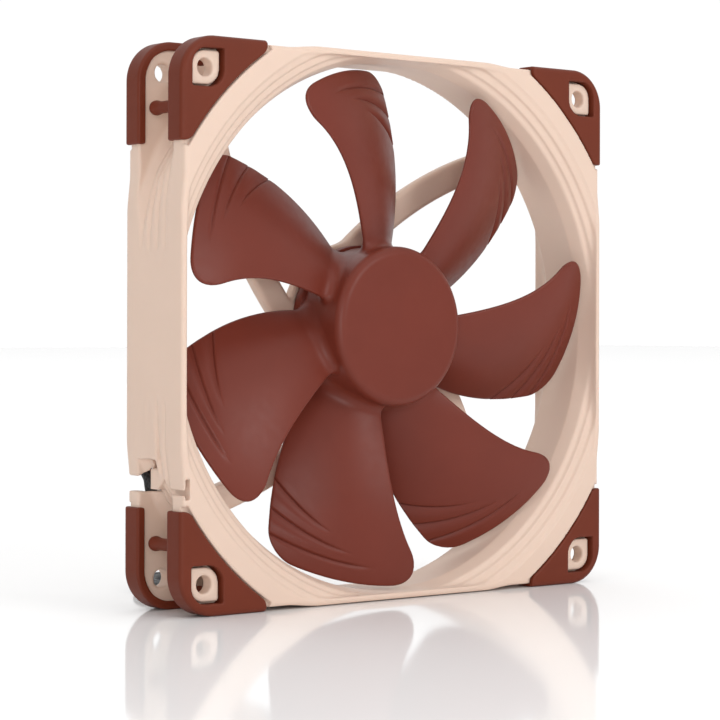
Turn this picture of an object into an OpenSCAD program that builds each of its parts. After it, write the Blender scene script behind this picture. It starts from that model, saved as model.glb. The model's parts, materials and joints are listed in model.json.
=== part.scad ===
// Square case fan with a seven-blade impeller, swept struts and soft corner pads.
// Axes: X right and Z up seen from the intake side, the intake faces -Y, the
// origin is the centre of the fan. Parts are drawn along a local axis that
// points to the intake, and face_front() turns them into the shared frame.

/* [Frame] */
// Outer width and height over the corner pads
size = 140; // [138:0.5:142]
// Depth from the intake face to the outlet face
depth = 25; // [25:0.5:26]
// Spacing of the screw holes
hole_spacing = 124.5; // [124:0.1:125]
// Diameter of the screw holes
hole_d = 4.4; // [4.2:0.1:4.8]
// Radius of the air duct at its throat
bore_r = 68; // [67.8:0.1:68.4]
// Thickness of a mounting flange under its pad
flange_t = 3.8; // [3.4:0.1:4]
// Depth of a pad's face skin
skin_t = 1.5; // [1.2:0.1:1.8]
// Radius of the arc that bounds the pads on the faces
pad_arc_r = 80.6; // [80.2:0.1:81]

/* [Struts] */
// Width of each swept strut
strut_w = 6.6; // [6:0.1:7.5]
// Radius of the strut's centre line
strut_r = 117.7; // [117:0.1:118.4]
// Radius of the motor base
base_r = 22; // [21.6:0.1:22.4]

/* [Impeller] */
// Number of blades
blades = 7; // [5:1:8]
// Radius of the blade tips
tip_r = 66.8; // [64:0.1:66.9]
// Radius of the hub at its front edge
hub_r = 20.7; // [20.5:0.1:20.9]
// Greatest thickness of a blade
blade_t = 1.9; // [1.4:0.1:2.2]

/* [Motor] */
// Radius of the shaft
shaft_r = 1.5; // [1.4:0.05:1.5]
// Running clearance between the shaft and its bearing
run_gap = 0.03; // [0.02:0.01:0.08]

/* [Lead] */
// Diameter of the sleeved lead
lead_d = 3; // [2.6:0.1:3]

/* [Hidden] */
$fn = 96;
eps = 0.02;
h2 = depth / 2;                 // half depth
hp = hole_spacing / 2;          // hole offset
half = size / 2;
fl_half = half - 0.9;           // flange edge under a pad
side_half = half - 0.1;         // flat side wall
clip_half = 68.2;               // where the flares are cut flat at mid-side
fl_out = h2 - skin_t;           // outer face of a flange under a pad
fl_in = fl_out - flange_t;      // inner face of a flange
strut_cx = 77.1;
strut_cy = -68.8;
strut_z = 3.6;                  // depth of a strut
lead_r = lead_d / 2;
tan_c = [0.90, 0.80, 0.73];
brown_c = [0.46, 0.23, 0.18];

module face_front() { rotate([90, 0, 0]) children(); }

// ---------- flat outlines ----------
module round_square(w, r) {
  square([w, w - 2 * r], center = true);
  square([w - 2 * r, w], center = true);
  for (sx = [-1, 1], sy = [-1, 1]) translate([sx * (w / 2 - r), sy * (w / 2 - r)]) circle(r);
}
module flange_outline() {
  round_square(2 * fl_half, 8.6);
  for (a = [0 : 90 : 270]) rotate(a)
    polygon([[60, -38], [fl_half, -38], [side_half, -27.5], [side_half, 27.5], [fl_half, 38], [60, 38]]);
}
// square with two opposite corners rounded, like a leaf
module leaf(w, r) {
  difference() {
    square(w, center = true);
    translate([w / 2 - r, w / 2 - r]) square(w);
    translate([-w / 2 + r - w, -w / 2 + r - w]) square(w);
  }
  translate([w / 2 - r, w / 2 - r]) circle(r);
  translate([-w / 2 + r, -w / 2 + r]) circle(r);
}

// ---------- frame ----------
// outer skin of the duct: four shallow flutes that open to the rear
module duct_outside() {
  rotate_extrude() polygon([[60, h2], [77, h2], [77, fl_in], [72.2, fl_in], [73.1, 4.6], [72.3, 4.5],
    [73.2, 1.0], [72.4, 0.9], [73.3, -2.7], [72.8, -2.8], [76.2, -fl_in], [77, -fl_in], [77, -h2], [60, -h2]]);
}
// stepped inlet, closed at the throat
module inlet_steps() {
  rotate_extrude() polygon([[0, h2 + 1], [75.2, h2 + 1], [75.2, h2], [74.8, 12.0], [73.0, 11.5], [72.6, 10.9],
    [70.9, 10.5], [70.5, 9.9], [69.5, 9.0], [69.2, 8.5], [bore_r, 5.5], [bore_r, 0], [0, 0]]);
}
module outlet_flare() {
  rotate_extrude() polygon([[0, 1], [bore_r, 1], [bore_r, -6.3], [74.2, -h2], [74.2, -h2 - 1], [0, -h2 - 1]]);
}
module strut_band(w, z0, z1) {
  translate([strut_cx, strut_cy, z0]) difference() {
    cylinder(r = strut_r + w / 2, h = z1 - z0, $fn = 360);
    translate([0, 0, -1]) cylinder(r = strut_r - w / 2, h = z1 - z0 + 2, $fn = 360);
  }
}
module strut() {
  intersection() {
    strut_band(strut_w, -h2, -h2 + strut_z);
    translate([0, 0, -h2]) linear_extrude(strut_z) polygon([[-9, 3], [20, 12], [75, 36], [75, 60], [-9, 60]]);
    cylinder(r = 75, h = 40, center = true);
  }
}
module slot_box(x0, x1, y0, y1, z0, z1) { translate([x0, y0, z0]) cube([x1 - x0, y1 - y0, z1 - z0]); }
module frame_shell() {
  difference() {
    union() {
      intersection() {
        duct_outside();
        linear_extrude(60, center = true) square(2 * side_half, center = true);
      }
      // flanges: full depth inside the pad arc, recessed under the pads
      for (s = [-1, 1]) {
        translate([0, 0, s > 0 ? fl_in : -fl_out]) linear_extrude(flange_t) flange_outline();
        intersection() {
          translate([0, 0, s > 0 ? fl_in : -h2]) linear_extrude(h2 - fl_in) flange_outline();
          union() {
            cylinder(r = pad_arc_r - 0.1, h = 60, center = true, $fn = 180);
            for (a = [0, 90]) rotate(a) cube([160, 86, 60], center = true);
          }
        }
      }
      // side block above the lead opening
      intersection() {
        slot_box(-side_half, -60, -32.5, -15, -fl_in, 1.2);
        difference() { cylinder(r = 90, h = 60, center = true); cylinder(r = 71.5, h = 61, center = true); }
      }
      // hook that holds the lead
      intersection() {
        union() {
          slot_box(-67.8, -60, -38.6, -34.6, -3.9, 1.0);
          slot_box(-66.6, -60, -40, -38, -3.9, 1.0);
        }
        difference() { cylinder(r = 90, h = 60, center = true); cylinder(r = 71.5, h = 61, center = true); }
      }
    }
    intersection() {
      inlet_steps();
      linear_extrude(60, center = true) square(2 * clip_half, center = true);
    }
    intersection() {
      outlet_flare();
      linear_extrude(60, center = true) square(2 * clip_half, center = true);
    }
    // screw holes and plug holes
    for (a = [0 : 90 : 270]) rotate(a) {
      translate([hp, hp, -20]) cylinder(r = hole_d / 2, h = 40);
      translate([66.2, 53.2, -20]) cylinder(r = 1.55, h = 40);
      translate([53.2, 66.2, -20]) cylinder(r = 1.55, h = 40);
    }
    // slit and bar in the intake flange
    slot_box(-71, -68, -40.6, -39.3, fl_in - 1, h2 + 1);
    slot_box(-68.4, -67.3, -41.7, -36.7, fl_in - 1, h2 + 1);
    // slot and opening in the outlet flange
    slot_box(-71, -68, -40.5, -38.9, -h2 - 1, -fl_in + 0.1);
    difference() {
      translate([0, 0, -h2 - 1]) linear_extrude(h2 + 1 - 4.2)
        polygon([[-68.8, -40.6], [-60, -40.6], [-60, -32.5], [-65.2, -32.5], [-66.5, -35.5], [-68.8, -36.8]]);
      cylinder(r = 72.2, h = 60, center = true, $fn = 180);
    }
  }
}
// curved groove that carries the lead from the strut to the opening
module lead_groove() {
  translate([-58.1, -40.4, -h2 - 1]) intersection() {
    difference() {
      cylinder(r = 8.2, h = h2 + 1 - 7.65, $fn = 120);
      translate([0, 0, -1]) cylinder(r = 3.7, h = 20, $fn = 120);
    }
    translate([-9, -9, 0]) cube([10.4, 9.4, 20]);
  }
  translate([-57.2, -48.7, -h2 - 1]) cube([5.6, 4.4, 4.7]);
}
module base_cup() {
  difference() {
    translate([0, 0, -h2]) cylinder(r = base_r, h = 3.3);
    translate([0, 0, -11.7]) cylinder(r = 20.3, h = 5);
    translate([0, 0, -h2 - 1]) cylinder(r = 18.8, h = 1.2);
  }
  // ledge under the board and bearing tube
  difference() {
    translate([0, 0, -11.8]) cylinder(r = 20.4, h = 1.4);
    translate([0, 0, -12]) cylinder(r = 18.4, h = 2);
  }
  difference() {
    translate([0, 0, -11.8]) cylinder(r = 4.7, h = 13);
    translate([0, 0, -11.7]) cylinder(r = 4, h = 14);
  }
}
module frame() {
  color(tan_c) face_front() difference() {
    union() {
      frame_shell();
      difference() {
        for (a = [0 : 90 : 270]) rotate(a) strut();
        cylinder(r = base_r - 0.5, h = 60, center = true);
      }
      base_cup();
    }
    lead_groove();
    // lead channel in the lower left strut, open to the rear
    intersection() {
      rotate(180) strut_band(3.3, -h2 - 1, -9.3);
      slot_box(-54, 7, -60, -12, -h2 - 2, -9.3);
      difference() { cylinder(r = 76, h = 60, center = true); cylinder(r = 18, h = 61, center = true); }
    }
  }
}

// ---------- soft corner pads ----------
module pad_region(w) {
  intersection() {
    round_square(w, 10 - (size - w) / 2);
    translate([44.4, 44.4]) square(60);
    difference() { square(200, center = true); circle(pad_arc_r, $fn = 180); }
  }
}
module pad(sx, sy, front, bar_end) {
  color(brown_c) face_front() mirror([sx < 0 ? 1 : 0, 0, 0]) mirror([0, sy < 0 ? 1 : 0, 0]) mirror([0, 0, front ? 0 : 1]) {
    difference() {
      union() {
        translate([0, 0, fl_out]) linear_extrude(skin_t) pad_region(size);
        // side wall around the flange
        difference() {
          translate([0, 0, fl_in - 1.1]) linear_extrude(flange_t + 1.1 + eps) pad_region(size);
          translate([0, 0, fl_in]) linear_extrude(flange_t + 1) round_square(2 * fl_half, 8.6);
          translate([0, 0, fl_in - 2]) linear_extrude(3) round_square(size - 4.2, 7.9);
        }
      }
      translate([hp, hp, 0]) linear_extrude(20) leaf(9.2, 4.4);
    }
    // two plugs through the flange
    for (p = [[66.2, 53.2], [53.2, 66.2]]) translate([p[0], p[1], 0]) {
      translate([0, 0, bar_end]) cylinder(r = 1.5, h = fl_out - bar_end + eps);
      if (bar_end < 0) rotate_extrude() polygon([[0, bar_end - 0.3], [1.2, bar_end - 0.3], [1.75, bar_end + 0.3], [1.85, bar_end + 1.6], [1.5, bar_end + 3], [0, bar_end + 3]]);
    }
  }
}
module pad_front_top_left() pad(-1, 1, true, -6.5);
module pad_front_top_right() pad(1, 1, true, -6.5);
module pad_front_bottom_left() pad(-1, -1, true, -6.5);
module pad_front_bottom_right() pad(1, -1, true, -6.5);
module pad_rear_top_left() pad(-1, 1, false, 7.4);
module pad_rear_top_right() pad(1, 1, false, 7.4);
module pad_rear_bottom_left() pad(-1, -1, false, 7.4);
module pad_rear_bottom_right() pad(1, -1, false, 7.4);

// ---------- bearing ----------
module ring(ro, ri, z0, z1) {
  translate([0, 0, z0]) difference() {
    cylinder(r = ro, h = z1 - z0);
    translate([0, 0, -1]) cylinder(r = ri, h = z1 - z0 + 2);
  }
}
module bearing_shell() color("goldenrod") face_front() {
  difference() {
    translate([0, 0, -11.7]) cylinder(r = 4, h = 12.9);
    translate([0, 0, -11.3]) cylinder(r = 3, h = 14);
  }
}
module bearing_sleeve() color("peru") face_front() ring(3, shaft_r + run_gap, -9.9, 0.7);
module thrust_disc() color("ivory") face_front() translate([0, 0, -11.3]) cylinder(r = 3, h = 0.3);
module bearing_magnet() color("dimgray") face_front() ring(3, 2, -11, -10.3);
module oil_seal() color("saddlebrown") face_front() ring(3, shaft_r + 0.12, 0.7, 1.2);

// ---------- stator ----------
module stator_core() color("lightsteelblue") face_front() difference() {
  union() {
    translate([0, 0, -4.5]) cylinder(r = 7.4, h = 5.5);
    for (a = [0, 90]) rotate(a) translate([-14.6, -1.8, -4.5]) cube([29.2, 3.6, 5.5]);
    difference() {
      ring(16.1, 14.3, -4.5, 1);
      for (a = [45 : 90 : 315]) rotate(a) translate([12, -2, -5]) cube([6, 4, 7]);
    }
  }
  translate([0, 0, -5]) cylinder(r = 4.7, h = 7);
}
module insulator(z0, z1, z2) {
  difference() {
    union() {
      translate([0, 0, min(z0, z1)]) cylinder(r = 7.2, h = abs(z1 - z0));
      for (a = [0, 90]) rotate(a) translate([-14, -2.3, min(z0, z1)]) cube([28, 4.6, abs(z1 - z0)]);
      for (a = [0 : 90 : 270]) rotate(a) translate([13.3, -4.4, min(z0, z2)]) cube([0.9, 8.8, abs(z2 - z0)]);
    }
    translate([0, 0, min(z0, z2) - 1]) cylinder(r = 4.9, h = abs(z2 - z0) + 2);
  }
}
module insulator_front() color("ivory") face_front() insulator(1, 2.2, 3.2);
module insulator_rear() color("ivory") face_front() insulator(-4.5, -5.7, -6.8);
module motor_coils() color("darkorange") face_front() for (a = [0 : 90 : 270]) rotate(a) difference() {
  translate([7.7, -4.3, -6.9]) cube([5.5, 8.6, 10.3]);
  translate([7, -2.3, -5.7]) cube([8, 4.6, 7.9]);
}

// ---------- circuit board ----------
module circuit_board() color("darkgreen") face_front() difference() {
  translate([0, 0, -10.4]) cylinder(r = 19.4, h = 1);
  translate([0, 0, -11]) cylinder(r = 5.1, h = 3);
}
module driver_chip() color("black") face_front() {
  rotate(30) translate([8.5, -2.5, -9.2]) cube([4, 5, 1.4]);
  rotate(30) for (i = [0 : 3], s = [0, 1]) translate([s > 0 ? 12.5 : 7.5, -2.1 + i * 1.3, -9.4]) cube([1, 0.4, 0.5]);
}
module hall_sensor() color("black") face_front() rotate(135) {
  translate([12.6, -1.5, -9.2]) cube([1.6, 3, 1.2]);
  for (i = [-1 : 1]) translate([14.2, i - 0.2, -9.4]) cube([0.8, 0.4, 0.5]);
}
module board_components() color("tan") face_front() {
  for (a = [75, 95, 190, 255, 275, 300]) rotate(a) translate([11, -0.6, -9.4]) cube([2, 1.2, 0.7]);
  for (a = [165, 330]) rotate(a) translate([10, -1.6, -9.4]) cube([3.2, 3.2, 1.3]);
}
module rear_label() color("gainsboro") face_front() translate([0, 0, -h2 + 0.02]) cylinder(r = 18.6, h = 0.16);

// ---------- lead ----------
function unit(v) = v / norm(v);
function crom(a, b, c, d, t) = 0.5 * (2 * b + (c - a) * t + (2 * a - 5 * b + 4 * c - d) * t * t + (3 * b - a - 3 * c + d) * t * t * t);
function path(p, k) = let (n = len(p)) [for (i = [0 : n - 2], j = [0 : k - 1])
    crom(i > 0 ? p[i - 1] : 2 * p[0] - p[1], p[i], p[i + 1], i < n - 2 ? p[i + 2] : 2 * p[n - 1] - p[n - 2], j / k), p[n - 1]];
function tangent(p, i) = unit(p[min(i + 1, len(p) - 1)] - p[max(i - 1, 0)]);
function normals(p, i, n) = i >= len(p) ? [] :
  let (t = tangent(p, i), m = unit(n - (n * t) * t)) concat([m], normals(p, i + 1, m));
module tube(p, r, start, sides = 8) {
  ns = normals(p, 0, start);
  pts = [for (i = [0 : len(p) - 1]) let (t = tangent(p, i), b = cross(t, ns[i]))
    for (k = [0 : sides - 1]) p[i] + r * (cos(360 * k / sides) * ns[i] + sin(360 * k / sides) * b)];
  m = len(p);
  polyhedron(pts, concat([[for (k = [0 : sides - 1]) k]],
    [for (i = [0 : m - 2], k = [0 : sides - 1]) [i * sides + k, (i + 1) * sides + k, (i + 1) * sides + (k + 1) % sides, i * sides + (k + 1) % sides]],
    [[for (k = [sides - 1 : -1 : 0]) (m - 1) * sides + k]]), convexity = 10);
}
// the held stretch: along the strut, through the flange opening and out to the rear
strut_pts = [for (a = [130.5 : -6.6 : 104]) [-(strut_cx + strut_r * cos(a)), 10.9, -(strut_cy + strut_r * sin(a))]];
held_pts = concat(strut_pts, [[-53, 10.9, -46.4], [-57.2, 10.7, -46.7], [-60.9, 10.2, -45.3], [-63.2, 9.6, -42.9],
  [-64.2, 9.2, -40], [-64.2, 10, -37.4], [-64.2, 12.5, -35]]);
// the free stretch, down behind the frame to the coil on the floor
free_pts = [[-64.2, 12.5, -35], [-64, 15.3, -34.4], [-62.4, 18.7, -34.6], [-59.5, 20.9, -35.4], [-56.3, 21.6, -37.5],
  [-54.6, 21.7, -41], [-54.1, 21.6, -46.5], [-53.8, 21.6, -52], [-52.4, 21.9, -57.6], [-48.6, 22.7, -62.2], [-43, 23.6, -64.6], [-36, 24.3, -65.1], [-28, 24.5, -65.2]];
coil_c = [-28, 37];
tail_pts = [[-8.8, 37, -67.9], [-8.8, 41, -68], [-8.5, 45, -68.1], [-8, 49, -67.8]];
module lead_held() color([0.1, 0.1, 0.1]) tube(path(held_pts, 2), lead_r, [0, 1, 0]);
module lead_free() color([0.1, 0.1, 0.1]) tube(path(free_pts, 3), lead_r, [0, 0, 1]);
module lead_tail() color([0.1, 0.1, 0.1]) tube(path(tail_pts, 2), lead_r, [0, 0, 1]);
module lead_coil() color([0.12, 0.12, 0.12]) translate([coil_c[0], coil_c[1], -69.4]) rotate_extrude() translate([11, 0]) square([9.7, 3]);
module coil_tie() color([0.2, 0.2, 0.2]) translate([coil_c[0], coil_c[1], 0]) rotate(-45) difference() {
  translate([10.2, -2, -70]) cube([11.2, 4, 4.2]);
  difference() {
    translate([0, 0, -69.4]) cylinder(r = 20.7, h = 3);
    translate([0, 0, -70]) cylinder(r = 11, h = 4);
  }
}
module lead_boot() color([0.08, 0.08, 0.08]) translate([-8, 49, -67.8]) rotate([-90, 0, 0]) cylinder(r = 1.7, h = 3);
module connector_housing() color([0.13, 0.13, 0.13]) difference() {
  translate([-13.1, 52, -70]) cube([10.2, 12, 5.6]);
  for (i = [0 : 3]) translate([-12.3 + i * 2.5, 51, -68.5]) cube([1.4, 14, 2]);
  translate([-11.6, 57, -65]) cube([7.2, 8, 2]);
}
module connector_contacts() color("goldenrod") for (i = [0 : 3]) translate([-12.3 + i * 2.5, 52.5, -68.5]) difference() {
  cube([1.4, 10.8, 2]);
  translate([0.35, 3, 0.5]) cube([0.7, 9, 1]);
}
module motor_wires() color("slategray") face_front() translate([-0.66, -20.7, -11.05]) rotate(40.5) for (i = [-1.5 : 1.5])
  translate([0, i * 0.74, 0]) rotate([0, 90, 0]) cylinder(r = 0.35, h = 6);

// ---------- impeller ----------
// leading and trailing edge angles and axial positions along the blade, q runs from root to tip
function le_a(q) = 109.7 + 4.9 * q + q * q + 6.2 * pow(q, 3) + 2.2 * pow(q, 4);
function te_a(q) = 66.6 + 17.4 * q + 5.4 * q * q - 0.9 * pow(q, 3) - 1.5 * pow(q, 4);
function le_z(q) = 3.9 + 13.5 * q - 2.9 * q * q - 3.8 * pow(q, 3);
function te_z(q) = -5.4 - 2.3 * q + 6 * q * q - 2.4 * pow(q, 3);
// rounded tip corners
function tip_cut(c) = let (l = max(0, 1 - c / 0.27), t = max(0, 1 - (1 - c) / 0.142)) 9.5 * (1 - sqrt(1 - l * l)) + 5.9 * (1 - sqrt(1 - t * t));
function thick(c, q) = blade_t * (1 - 0.35 * q) * (0.18 + 0.82 * pow(sin(180 * pow(c, 0.8)), 0.6));
function mid_pt(q, c) = let (qq = q * (1 - tip_cut(c) / (tip_r - 21)), r = 19.8 + (tip_r - 19.8) * qq,
    q1 = max(0, (r - 21) / (tip_r - 21)), a = le_a(q1) + (te_a(q1) - le_a(q1)) * c)
  [r * cos(a), r * sin(a), le_z(q1) * (1 - c) + te_z(q1) * c + 2.2 * 4 * c * (1 - c)];
function blade_pt(q, c, s) = let (p = mid_pt(q, c), e = 0.02,
    u = mid_pt(q, min(1, c + e)) - mid_pt(q, max(0, c - e)), v = mid_pt(min(1, q + e), c) - mid_pt(max(0, q - e), c),
    n = unit(cross(u, v))) p + s * thick(c, q) / 2 * n;
nq = 9;
nc = 10;
cs = [for (j = [0 : nc]) (1 - cos(180 * j / nc)) / 2];
module blade() {
  w = nc + 1;
  m = (nq + 1) * w;
  pts = [for (s = [1, -1], i = [0 : nq], j = [0 : nc]) blade_pt(i / nq, cs[j], s)];
  polyhedron(pts, concat(
    [for (i = [0 : nq - 1], j = [0 : nc - 1], k = [0, 1]) let (a = i * w + j, b = a + 1, c = a + w, d = c + 1) k == 0 ? [a, c, b] : [b, c, d]],
    [for (i = [0 : nq - 1], j = [0 : nc - 1], k = [0, 1]) let (a = m + i * w + j, b = a + 1, c = a + w, d = c + 1) k == 0 ? [a, b, c] : [b, d, c]],
    [for (i = [0 : nq - 1], e = [0, nc], k = [0, 1]) let (a = i * w + e, c = a + w) e == 0 ? (k == 0 ? [a, m + a, c] : [c, m + a, m + c]) : (k == 0 ? [a, c, m + a] : [c, m + c, m + a])],
    [for (j = [0 : nc - 1], e = [0, nq], k = [0, 1]) let (a = e * w + j, b = a + 1) e == 0 ? (k == 0 ? [a, b, m + a] : [b, m + b, m + a]) : (k == 0 ? [a, m + a, b] : [b, m + a, m + b])]
  ), convexity = 6);
}
module hub() {
  rotate_extrude() polygon(concat([[0, 10.6]], [for (a = [90 : -15 : 0]) [hub_r - 2.2 + 2.2 * cos(a), 8.4 + 2.2 * sin(a)]],
    [[21.1, -5.5], [21.1, -8.6], [19.4, -8.6], [19.4, 7.1], [18.2, 7.1], [18.2, 8.9], [4.5, 8.9], [4.5, 7.1], [0, 7.1]]));
}
module impeller() color(brown_c) face_front() {
  hub();
  difference() {
    for (i = [0 : blades - 1]) rotate(360 / blades * i) blade();
    translate([0, 0, -20]) cylinder(r = 20.2, h = 40);
  }
}
module rotor_yoke() color("silver") face_front() difference() {
  translate([0, 0, -8.3]) cylinder(r = 19.4, h = 15.4);
  translate([0, 0, -9]) cylinder(r = 18.6, h = 15.3);
  translate([0, 0, 0]) cylinder(r = 2, h = 10);
}
module rotor_magnet() color("dimgray") face_front() ring(18.6, 16.7, -7.6, 4.5);
module shaft_bush() color("goldenrod") face_front() difference() {
  union() {
    translate([0, 0, 3.2]) cylinder(r = 3, h = 3.1);
    translate([0, 0, 3.2]) cylinder(r = 2, h = 3.9);
  }
  translate([0, 0, 2]) cylinder(r = shaft_r, h = 4.7);
}
module shaft() color("silver") face_front() difference() {
  rotate_extrude() polygon([[0, -10.9], [1, -10.8], [shaft_r, -10.4], [shaft_r, 6.7], [0, 6.7]]);
  ring(3, 1.1, -10.76, -10.5);
}
module retaining_clip() color("white") face_front() ring(1.75, 1.12, -10.74, -10.52);

frame();
bearing_shell();
bearing_sleeve();
thrust_disc();
bearing_magnet();
oil_seal();
stator_core();
insulator_front();
insulator_rear();
motor_coils();
circuit_board();
driver_chip();
hall_sensor();
board_components();
motor_wires();
rear_label();
pad_front_top_left();
pad_front_top_right();
pad_front_bottom_left();
pad_front_bottom_right();
pad_rear_top_left();
pad_rear_top_right();
pad_rear_bottom_left();
pad_rear_bottom_right();
lead_held();
lead_free();
lead_coil();
lead_tail();
coil_tie();
lead_boot();
connector_housing();
connector_contacts();
impeller();
rotor_yoke();
rotor_magnet();
shaft_bush();
shaft();
retaining_clip();
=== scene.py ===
import bpy, bmesh, json, math
import numpy as np
from mathutils import Vector, Matrix
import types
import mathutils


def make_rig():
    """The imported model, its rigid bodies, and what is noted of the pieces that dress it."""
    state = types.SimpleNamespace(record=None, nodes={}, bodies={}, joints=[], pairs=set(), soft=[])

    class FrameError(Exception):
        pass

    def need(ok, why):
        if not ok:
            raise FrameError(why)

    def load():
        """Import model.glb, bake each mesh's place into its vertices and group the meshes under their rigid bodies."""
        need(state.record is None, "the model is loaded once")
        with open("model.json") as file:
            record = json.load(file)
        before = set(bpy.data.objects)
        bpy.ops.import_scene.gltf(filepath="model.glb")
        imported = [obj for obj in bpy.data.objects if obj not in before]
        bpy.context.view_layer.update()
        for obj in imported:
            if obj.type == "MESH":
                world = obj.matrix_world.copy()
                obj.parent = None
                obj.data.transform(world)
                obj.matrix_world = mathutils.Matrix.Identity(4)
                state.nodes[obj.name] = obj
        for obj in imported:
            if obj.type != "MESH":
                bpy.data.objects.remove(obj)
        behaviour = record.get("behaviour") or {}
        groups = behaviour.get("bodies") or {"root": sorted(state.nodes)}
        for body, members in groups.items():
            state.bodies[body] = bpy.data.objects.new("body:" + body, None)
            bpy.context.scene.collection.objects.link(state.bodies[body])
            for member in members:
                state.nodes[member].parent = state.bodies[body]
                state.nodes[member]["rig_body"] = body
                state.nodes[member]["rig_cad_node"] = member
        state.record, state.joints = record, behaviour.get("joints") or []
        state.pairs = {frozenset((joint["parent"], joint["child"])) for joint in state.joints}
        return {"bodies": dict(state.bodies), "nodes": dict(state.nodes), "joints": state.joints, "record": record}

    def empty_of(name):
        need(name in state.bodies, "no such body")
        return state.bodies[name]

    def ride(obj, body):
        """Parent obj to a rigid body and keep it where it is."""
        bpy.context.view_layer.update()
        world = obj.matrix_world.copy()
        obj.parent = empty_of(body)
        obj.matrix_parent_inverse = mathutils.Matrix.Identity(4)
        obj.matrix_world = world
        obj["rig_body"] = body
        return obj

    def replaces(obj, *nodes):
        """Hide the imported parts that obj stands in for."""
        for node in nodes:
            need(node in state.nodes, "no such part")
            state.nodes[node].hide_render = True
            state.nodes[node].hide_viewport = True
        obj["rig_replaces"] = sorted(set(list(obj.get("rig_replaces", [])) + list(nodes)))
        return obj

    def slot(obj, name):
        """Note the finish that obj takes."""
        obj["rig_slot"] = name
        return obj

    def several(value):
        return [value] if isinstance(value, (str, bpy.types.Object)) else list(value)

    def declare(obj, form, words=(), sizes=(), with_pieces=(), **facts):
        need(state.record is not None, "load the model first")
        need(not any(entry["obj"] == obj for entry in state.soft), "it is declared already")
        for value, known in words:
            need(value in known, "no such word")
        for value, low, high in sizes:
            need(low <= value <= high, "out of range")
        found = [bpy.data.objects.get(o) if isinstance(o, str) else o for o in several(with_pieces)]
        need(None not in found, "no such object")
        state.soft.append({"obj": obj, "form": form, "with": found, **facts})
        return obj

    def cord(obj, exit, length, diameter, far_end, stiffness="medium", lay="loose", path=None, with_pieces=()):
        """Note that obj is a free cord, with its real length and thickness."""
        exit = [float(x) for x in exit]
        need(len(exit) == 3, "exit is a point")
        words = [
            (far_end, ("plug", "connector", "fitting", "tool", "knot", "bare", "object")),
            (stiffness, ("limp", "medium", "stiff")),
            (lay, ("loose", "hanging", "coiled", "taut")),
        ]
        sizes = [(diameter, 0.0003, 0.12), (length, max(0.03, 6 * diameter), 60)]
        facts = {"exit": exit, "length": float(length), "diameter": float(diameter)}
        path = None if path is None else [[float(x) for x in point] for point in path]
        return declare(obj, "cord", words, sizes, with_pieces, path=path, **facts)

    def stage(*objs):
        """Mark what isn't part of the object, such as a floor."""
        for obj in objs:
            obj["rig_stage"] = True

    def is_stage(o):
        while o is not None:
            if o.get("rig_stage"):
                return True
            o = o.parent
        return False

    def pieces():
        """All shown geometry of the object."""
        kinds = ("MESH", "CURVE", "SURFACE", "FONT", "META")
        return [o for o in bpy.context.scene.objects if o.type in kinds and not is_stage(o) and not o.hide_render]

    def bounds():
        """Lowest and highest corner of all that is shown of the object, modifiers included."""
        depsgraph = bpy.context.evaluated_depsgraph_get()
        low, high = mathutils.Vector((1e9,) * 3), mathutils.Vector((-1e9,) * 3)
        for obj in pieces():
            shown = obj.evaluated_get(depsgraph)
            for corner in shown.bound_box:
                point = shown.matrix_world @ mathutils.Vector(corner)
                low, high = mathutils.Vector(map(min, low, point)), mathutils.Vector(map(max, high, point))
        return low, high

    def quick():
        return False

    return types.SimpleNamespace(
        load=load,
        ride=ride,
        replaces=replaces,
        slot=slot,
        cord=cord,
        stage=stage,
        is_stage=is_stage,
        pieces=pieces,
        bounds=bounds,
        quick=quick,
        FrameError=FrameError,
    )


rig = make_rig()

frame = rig.load()
cad_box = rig.bounds()
scene = bpy.context.scene
MM = 0.001
pi = math.pi


def cs(deg):
    a = math.radians(deg)
    return math.cos(a), math.sin(a)


# ------------------------------------------------------------------ camera
def make_camera():
    f, az, roll, shx, shy, dist = 2376.0, math.radians(-39.32), 0.0023, 16.06, 33.75, 0.619334
    back = Vector((math.sin(az), -math.cos(az), 0.0))
    fwd = -back
    right = fwd.cross(Vector((0, 0, 1))).normalized()
    up = right.cross(fwd)
    r2 = math.cos(roll) * right + math.sin(roll) * up
    u2 = -math.sin(roll) * right + math.cos(roll) * up
    cam = bpy.data.cameras.new("camera")
    cam.sensor_width = 36
    cam.lens = f / 720 * 36
    cam.shift_x = -shx / 720
    cam.shift_y = -shy / 720
    cam.clip_start = 0.01
    cam.clip_end = 50
    ob = bpy.data.objects.new("camera", cam)
    scene.collection.objects.link(ob)
    m = Matrix.Identity(4)
    for i in range(3):
        m[i][0], m[i][1], m[i][2], m[i][3] = r2[i], u2[i], back[i], back[i] * dist
    ob.matrix_world = m
    scene.camera = ob


make_camera()


# ------------------------------------------------------------------ materials
def nodes_of(name):
    m = bpy.data.materials.new(name)
    m.use_nodes = True
    nt = m.node_tree
    bsdf = next(n for n in nt.nodes if n.type == "BSDF_PRINCIPLED")
    return m, nt, bsdf


def noise(nt, scale, detail=4, rough=0.5, vec=None):
    n = nt.nodes.new("ShaderNodeTexNoise")
    n.inputs["Scale"].default_value = scale
    n.inputs["Detail"].default_value = detail
    n.inputs["Roughness"].default_value = rough
    if vec is not None:
        nt.links.new(vec, n.inputs["Vector"])
    return n


def obj_coord(nt):
    return nt.nodes.new("ShaderNodeTexCoord").outputs["Object"]


def ramp(nt, fac, stops):
    r = nt.nodes.new("ShaderNodeValToRGB")
    el = r.color_ramp.elements
    while len(el) < len(stops):
        el.new(0.5)
    for e, (p, c) in zip(el, stops):
        e.position = p
        e.color = (c[0], c[1], c[2], 1)
    nt.links.new(fac, r.inputs["Fac"])
    return r


def shade(c, k):
    return tuple(min(1, x * k) for x in c)


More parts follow.
